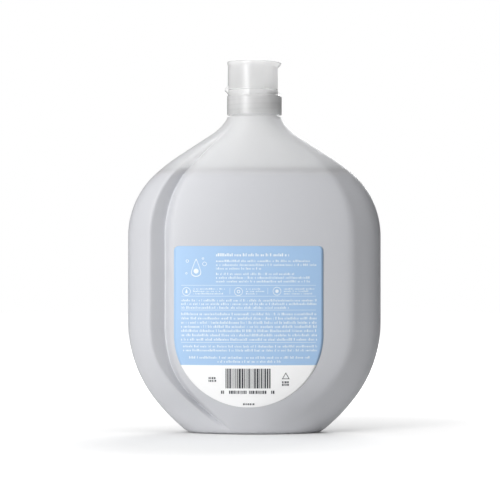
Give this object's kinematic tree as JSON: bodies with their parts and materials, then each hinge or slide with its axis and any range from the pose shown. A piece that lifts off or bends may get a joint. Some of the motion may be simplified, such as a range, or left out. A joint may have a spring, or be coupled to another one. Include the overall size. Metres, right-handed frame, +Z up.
{
  "type": "hand soap refill pack",
  "caption": "Flat round-shouldered translucent refill bottle of hand soap with a screw closure, a flip-top lid and a wrap-over ridge along each side.",
  "frame": {"origin": "middle of the base, on the surface that the bottle stands on", "axes": "+Z up along the neck, the labelled face towards -Y, the closure's hinge towards -X"},
  "size_m": [0.1632, 0.0561, 0.2389],
  "materials": {
    "bottle_plastic": "natural translucent polyethylene, satin blow-moulded skin",
    "soap": "clear to milky liquid soap",
    "closure_plastic": "natural translucent polypropylene, glossy injection-moulded",
    "label_film": "printed satin film, light blue above and white below"
  },
  "bodies": {
    "filled_bottle": {"bottle": "bottle_plastic", "liquid_soap": "soap", "back_label": "label_film"},
    "closure": {"closure_base": "closure_plastic"},
    "lid": {"closure_lid": "closure_plastic"}
  },
  "joints": [
    {"name": "closure_turn", "type": "hinge", "parent": "filled_bottle", "child": "closure", "pos_m": [0, 0, 0.2118], "axis": [0, 0, 1], "range_deg": [0, 450]},
    {"name": "lid_flip", "type": "hinge", "parent": "closure", "child": "lid", "pos_m": [-0.0189, 0, 0.22059], "axis": [0, -1, 0], "range_deg": [0, 150]}
  ]
}
